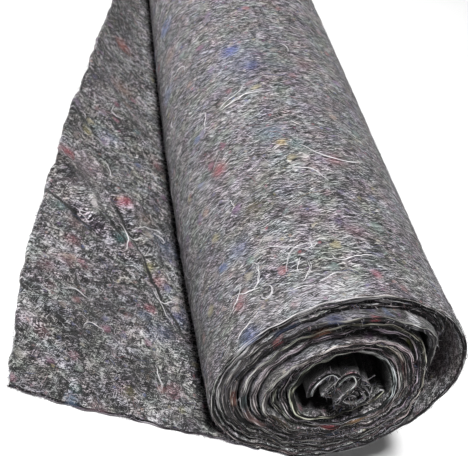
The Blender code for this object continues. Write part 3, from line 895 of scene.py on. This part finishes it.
paint_tufts_and_shading(loose_end, in_metres(LOOSE_END_TUFTS, 0, 1, 2))
paint_tufts_and_shading(first_turn, in_metres(ROLL_TUFTS_AND_SHADE, 0, 1, 2))
lengths = inner_length(np.array([row[0] for row in INNER_TUFTS_AND_SHADING]))[0]
inner_tufts_and_shading = [(length,) + row[1:]
               for length, row in zip(lengths, in_metres(INNER_TUFTS_AND_SHADING, 1, 2))]
# painted shade over the inner turns and the core, deep in the roll
paint_tufts_and_shading(inner_turns, inner_tufts_and_shading, TURNS_PAINTED_SHADE)
paint_tufts_and_shading(core, [], CORE_PAINTED_SHADE)


def frayed(starts, outward, low, high, spread=0.55, points=4):
    """Short fibres from low to high long, leaning out of places on an edge and curling."""
    count = len(starts)
    length = rng.uniform(low, high, count)
    lean = outward + rng.normal(0.0, spread, (count, 3))
    lean /= np.linalg.norm(lean, axis=1, keepdims=True)
    bend = rng.normal(0.0, 0.5, (count, 3))
    share = np.linspace(0.0, 1.0, points)[None, :, None]
    reach = length[:, None, None] * share
    return starts[:, None, :] + reach * (lean[:, None, :] + share * bend[:, None, :])


def edge_places(count, low, high, near=True):
    """Random places on the cut edge of the wound felt, and a way along and out of it."""
    turns_in = rng.uniform(low, high, count)
    share = 0.0 if near else 1.0
    x, z = wound_place(turns_in, np.full(count, share))
    inner = rng.uniform(0.0, 0.9, count) * FELT
    angle = np.radians(turn_angle(turns_in))
    table, sign = (NEAR_PROUD, -1.0) if near else (FAR_PROUD, 1.0)
    y = NEAR_END + share + sign * read_table(table, turns_in) / 1000.0 - sign * 0.0008
    along = rng.uniform(-1.4, 1.4, count)
    out = np.c_[-along * np.sin(angle), np.full(count, sign * 0.6), along * np.cos(angle)]
    return np.c_[x - inner * np.cos(angle), y, z - inner * np.sin(angle)], out


# Numbers of fibres
NEAR_END_FRAY = 3800
FAR_END_FRAY = 900
CORE_FRAY = 260
FREE_EDGE_FRAY = 1300
FLAP_END_FRAY = 800
ROLL_CURLS = 3200
LOOSE_END_CURLS = 2400
# Fibres and threads are drawn thicker than real ones, which would be too fine to show
# columns: least, most
FRAY_THICKNESS = (0.00014, 0.00026)
FLAP_FRAY_THICKNESS = (0.00014, 0.00024)
CURL_THICKNESS = (0.00016, 0.00034)
THREAD_THICKNESS = (0.00026, 0.00048)
# Heights over the felt at which curls and threads lie
CURLS_LIFTED = 0.0004
ROLL_THREADS_LIFTED = 0.0007
LOOSE_END_THREADS_LIFTED = 0.0008

# Fray on the cut edges of the turns and the core
places = edge_places(NEAR_END_FRAY, 0.02, 9.0)
lines = [frayed(*places, low=0.0010, high=0.0030, spread=0.3)]
places = edge_places(FAR_END_FRAY, 0.02, LAST_TURN, near=False)
lines.append(frayed(*places, low=0.0012, high=0.0034, spread=0.3))
x, z, proud, _ = core_curve(rng.uniform(0.3, 1.0, CORE_FRAY))
core_starts = np.c_[x, NEAR_END - proud, z + rng.uniform(0.0, 1.0, len(x)) * 0.002]
lines.append(frayed(core_starts, np.array([0.0, -0.5, 0.0]), low=0.0015, high=0.0045))
lines = np.concatenate(lines)
add_fibres("frayed_edge_fibres", lines, rng.uniform(*FRAY_THICKNESS, len(lines)), grey_fibres)

# Fray on the loose end's free edge and near edge
along = rng.uniform(0.0, 1.0, FREE_EDGE_FRAY) ** 1.3
across = -read_table(FLAP_REACH, along)
z = flap_height(across, along) + rng.uniform(0.1, 0.9, len(along)) * FELT
free_edge = frayed(np.c_[across + 0.0006, NEAR_END + along, z],
                   np.array([-0.6, -0.1, 0.1]), low=0.0008, high=0.0018)
across = -rng.uniform(0.02, 0.192, FLAP_END_FRAY)
z = rng.uniform(0.1, 0.9, len(across)) * FELT + flap_height(across, 0.0 * across)
near_edge = frayed(np.c_[across, NEAR_END - read_table(FLAP_BOW, -across) + 0.0006, z],
                   np.array([0.0, -0.6, 0.1]), low=0.0008, high=0.0018)
lines = np.concatenate([free_edge, near_edge])
thickness = rng.uniform(*FLAP_FRAY_THICKNESS, len(lines))
add_fibres("frayed_loose_end_fibres", lines, thickness, grey_fibres)


def add_curls(name, starts, headings, reach, wander, place):
    """Curly fibres on a face, with least and most for their lengths and their wander."""
    count = len(starts)
    lengths = rng.uniform(*reach, count)
    curls = wandering(starts, headings, lengths, 7, rng.uniform(*wander, count))
    lines = place(*curls, CURLS_LIFTED)
    add_fibres(name, lines, rng.uniform(*CURL_THICKNESS, count), grey_fibres)


# Curls lie mostly round the roll, and anyhow on the loose end, closest at the near end
count = ROLL_CURLS
starts = np.c_[rng.uniform(0.10, 0.50, count), rng.uniform(0.0, 1.0, count) ** 1.5]
headings = rng.normal(0.0, 0.45, count) + math.pi * rng.integers(0, 2, count)
add_curls("curled_roll_fibres", starts, headings, (0.005, 0.022), (0.05, 0.30), on_roll)
count = LOOSE_END_CURLS
starts = np.c_[-rng.uniform(0.03, 0.19, count), rng.uniform(0.0, 0.75, count) ** 1.3]
headings = rng.uniform(0.0, 2.0 * math.pi, count)
add_curls("curled_loose_end_fibres", starts, headings, (0.004, 0.016), (0.1, 0.5), on_loose_end)

# White threads on the roll and the loose end, each of a few strands
# columns: length round the roll or x on the loose end and from_near in mm, heading and
# turning in degrees, length in mm, wander
ROLL_THREADS = [
    (377, 60, 175, 30, 42, 0.06), (360, 33, 95, 190, 38, 0.07), (353, 29, 90, 60, 13, 0.08),
    (352, 21, 165, 20, 18, 0.10), (343, 16, 165, 20, 18, 0.10), (330, 36, 280, -60, 32, 0.12),
    (337, 50, 250, 60, 12, 0.20), (399, 38, 185, -20, 22, 0.06), (379, 30, 150, 290, 27, 0.05),
    (403, 29, 165, 0, 18, 0.10), (387, 33, 235, -40, 28, 0.15), (403, 6, 110, 20, 16, 0.06),
    (326, 149, 210, -70, 56, 0.06), (314, 286, 220, 40, 16, 0.08), (377, 217, 150, 40, 36, 0.08),
    (378, 220, 152, 36, 30, 0.10), (372, 219, 148, 45, 34, 0.10), (386, 108, 95, 30, 20, 0.20),
    (436, 250, 120, 0, 14, 0.20), (429, 251, 100, 30, 14, 0.20), (395, 205, 110, 0, 30, 0.15),
    (341, 126, 175, 40, 34, 0.10), (402, 300, 90, 0, 30, 0.15), (366, 20, 200, 60, 22, 0.12),
    (300, 380, 180, 0, 40, 0.15), (230, 200, 170, 40, 40, 0.15), (180, 420, 200, 0, 35, 0.20),
    (260, 600, 160, 90, 40, 0.15), (350, 700, 190, 0, 40, 0.15), (140, 750, 150, 120, 30, 0.20),
]
LOOSE_END_THREADS = [
    (-93, 178, 20, 40, 30, 0.12), (-78, 182, 300, 0, 18, 0.20), (-137, 180, 200, 90, 16, 0.25),
    (-110, 165, 330, 0, 26, 0.15), (-160, 90, 15, -60, 26, 0.15), (-140, 140, 340, 60, 30, 0.15),
    (-120, 250, 300, 0, 24, 0.20), (-110, 330, 250, 40, 22, 0.20), (-130, 60, 20, 90, 22, 0.20),
    (-90, 45, 330, 0, 24, 0.20), (-100, 560, 260, 0, 26, 0.25), (-112, 176, 310, 0, 34, 0.10),
    (-82, 122, 300, 10, 40, 0.10), (-84, 118, 300, 0, 30, 0.12),
]
STRANDS = 2
# Strands drift apart by about this much from step to step
DRIFT = 0.0001
for name, table, place, lifted in (
        ("roll_white_threads", ROLL_THREADS, on_roll, ROLL_THREADS_LIFTED),
        ("loose_end_white_threads", LOOSE_END_THREADS, on_loose_end, LOOSE_END_THREADS_LIFTED)):
    table = np.array(in_metres(table, 0, 1, 4))
    across, along = wandering(table[:, :2], np.radians(table[:, 2]), table[:, 4], 24, table[:, 5],
                              np.radians(table[:, 3]))
    strands = []
    for _ in range(STRANDS):
        drift = np.cumsum(rng.normal(0.0, DRIFT, (2,) + across.shape), axis=2)
        strands.append(place(across + drift[0], along + drift[1], lifted))
    lines = np.concatenate(strands)
    add_fibres(name, lines, rng.uniform(*THREAD_THICKNESS, len(lines)), thread_white)

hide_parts("loose_end")
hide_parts("wound_roll")
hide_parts("wound_roll")
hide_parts("wound_roll")

# Widths of the loose end along the roll, and lengths of the inner turns and of the core
reaches = read_table(FLAP_REACH, np.linspace(0.0, 1.0, 400))
inner_run = float(inner_length(np.array([LAST_TURN]))[1])
core_run = float(core_curve(np.array([1.0]))[3][0])

# Floor, light and camera

# columns: name, power, size, place, aim
LAMPS = [
    ("key", 1170.0, 1.4, (-3.90, -2.40, 7.10), (0.0, -0.2, 0.0)),
    ("front", 1.5, 0.8, (-0.9, -2.0, 1.0), (0.0, -0.4, 0.05)),
    ("rim", 4.0, 0.8, (1.8, 0.6, 0.9), (0.0, -0.1, 0.1)),
]
# The photo's view: angles in degrees, distance and aim in roll widths from the near end
AZIMUTH = -33.8
ELEVATION = 30.4
TILT = 40.3
DISTANCE = 3.56
AIM = (-0.37, 0.71, 0.5)
# A focal length of 841 pixels on a picture 468 pixels wide, on a sensor of 36 mm
LENS = 841.0 / 468.0 * 36.0

bpy.ops.mesh.primitive_plane_add(size=24.0, location=(0.0, 0.0, 0.0))
floor = bpy.context.active_object
floor.name = "floor"
pale, _ = new_finish("pale_floor", {"Base Color": colour("#e8e8e8")})
floor.data.materials.append(pale)

for name, power, size, place, aim in LAMPS:
    light = bpy.data.lights.new(name, "AREA")
    light.energy = power
    light.size = size
    lamp = bpy.data.objects.new(name, light)
    lamp.location = place
    lamp.rotation_euler = (Vector(aim) - Vector(place)).to_track_quat("-Z", "Y").to_euler()
    scene.collection.objects.link(lamp)

# A faint even light
world = bpy.data.worlds.new("studio")
world.use_nodes = True
background = world.node_tree.nodes["Background"].inputs
background["Color"].default_value = (1.0, 1.0, 1.0, 1.0)
background["Strength"].default_value = 0.07
scene.world = world
scene.view_settings.view_transform = "Standard"


def add_camera():
    """Low at the loose end's side of the near end, tilted round its own line of sight."""
    size = 2.0 * ROLL_RADIUS
    azimuth, elevation, tilt = (math.radians(angle) for angle in (AZIMUTH, ELEVATION, TILT))
    out = math.cos(elevation)
    back = Vector((math.sin(azimuth) * out, -math.cos(azimuth) * out, math.sin(elevation)))
    level = Vector((math.cos(azimuth), math.sin(azimuth), 0.0))
    up = back.cross(level)
    right = math.cos(tilt) * level + math.sin(tilt) * up
    above = math.cos(tilt) * up - math.sin(tilt) * level
    aim = Vector((AIM[0] * size, AIM[1] * size + NEAR_END, AIM[2] * size - FLATTENED))
    data = bpy.data.cameras.new("camera")
    data.lens = LENS
    data.clip_start = 0.01
    camera = bpy.data.objects.new("camera", data)
    place = Matrix((right, above, back)).transposed().to_4x4()
    place.translation = aim + back * DISTANCE * size
    camera.matrix_world = place
    scene.collection.objects.link(camera)
    scene.camera = camera


add_camera()
